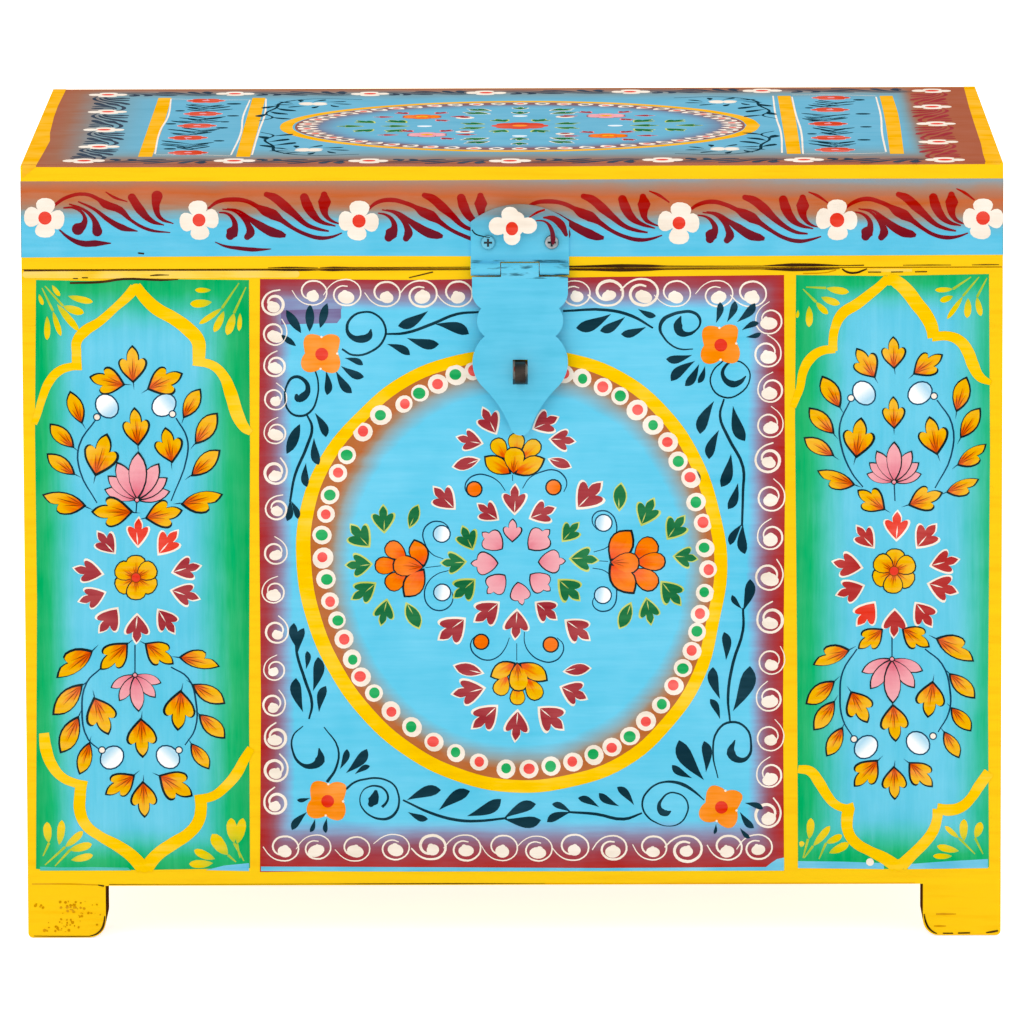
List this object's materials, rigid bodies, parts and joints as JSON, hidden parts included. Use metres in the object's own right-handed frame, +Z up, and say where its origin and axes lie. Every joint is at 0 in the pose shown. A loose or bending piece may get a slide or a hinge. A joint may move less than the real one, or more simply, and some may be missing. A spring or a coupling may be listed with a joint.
{
  "type": "painted trunk",
  "caption": "Painted wooden storage trunk on block feet, with a hinged box lid and a hasp that drops over a staple for a padlock.",
  "frame": {"origin": "on the floor, at the middle of the whole trunk's box, staple and hinge barrels included", "axes": "+X along the width to the right as seen from the front, +Y from the front to the back, +Z up"},
  "size_m": [0.5, 0.3724, 0.4],
  "materials": {
    "painted_wood": "hand painted enamel",
    "yellow_painted_wood": "brushed enamel",
    "painted_sheet_steel": "hand painted enamel",
    "plated_steel": "dull zinc",
    "dark_steel": "blackened"
  },
  "bodies": {
    "carcass": {"front_panel": "painted_wood", "back_panel": "painted_wood", "left_side_panel": "painted_wood", "right_side_panel": "painted_wood", "carcass_corner_nails": "dark_steel", "floor_panel": "yellow_painted_wood", "floor_nails": "dark_steel", "front_left_foot": "yellow_painted_wood", "front_right_foot": "yellow_painted_wood", "rear_left_foot": "yellow_painted_wood", "rear_right_foot": "yellow_painted_wood", "foot_screws": "plated_steel", "hasp_staple": "dark_steel", "left_hinge_carcass_leaf": "plated_steel", "right_hinge_carcass_leaf": "plated_steel", "left_hinge_pin": "plated_steel", "right_hinge_pin": "plated_steel", "carcass_hinge_screws": "plated_steel"},
    "lid": {"lid_front_rail": "painted_wood", "lid_back_rail": "painted_wood", "lid_left_rail": "painted_wood", "lid_right_rail": "painted_wood", "lid_top_panel": "yellow_painted_wood", "lid_corner_nails": "dark_steel", "lid_top_nails": "dark_steel", "left_hinge_lid_leaf": "plated_steel", "right_hinge_lid_leaf": "plated_steel", "lid_hinge_screws": "plated_steel", "hasp_plate": "painted_sheet_steel", "hasp_pin": "plated_steel", "hasp_screws": "plated_steel"},
    "hasp": {"hasp_flap": "painted_sheet_steel"}
  },
  "joints": [
    {"name": "lid_open", "type": "hinge", "parent": "carcass", "child": "lid", "pos_m": [0, 0.183, 0.34625], "axis": [-1, 0, 0], "range_deg": [0, 180]},
    {"name": "hasp_swing", "type": "hinge", "parent": "lid", "child": "hasp", "pos_m": [0.004, -0.1734, 0.34625], "axis": [-1, 0, 0], "range_deg": [0, 150]}
  ]
}
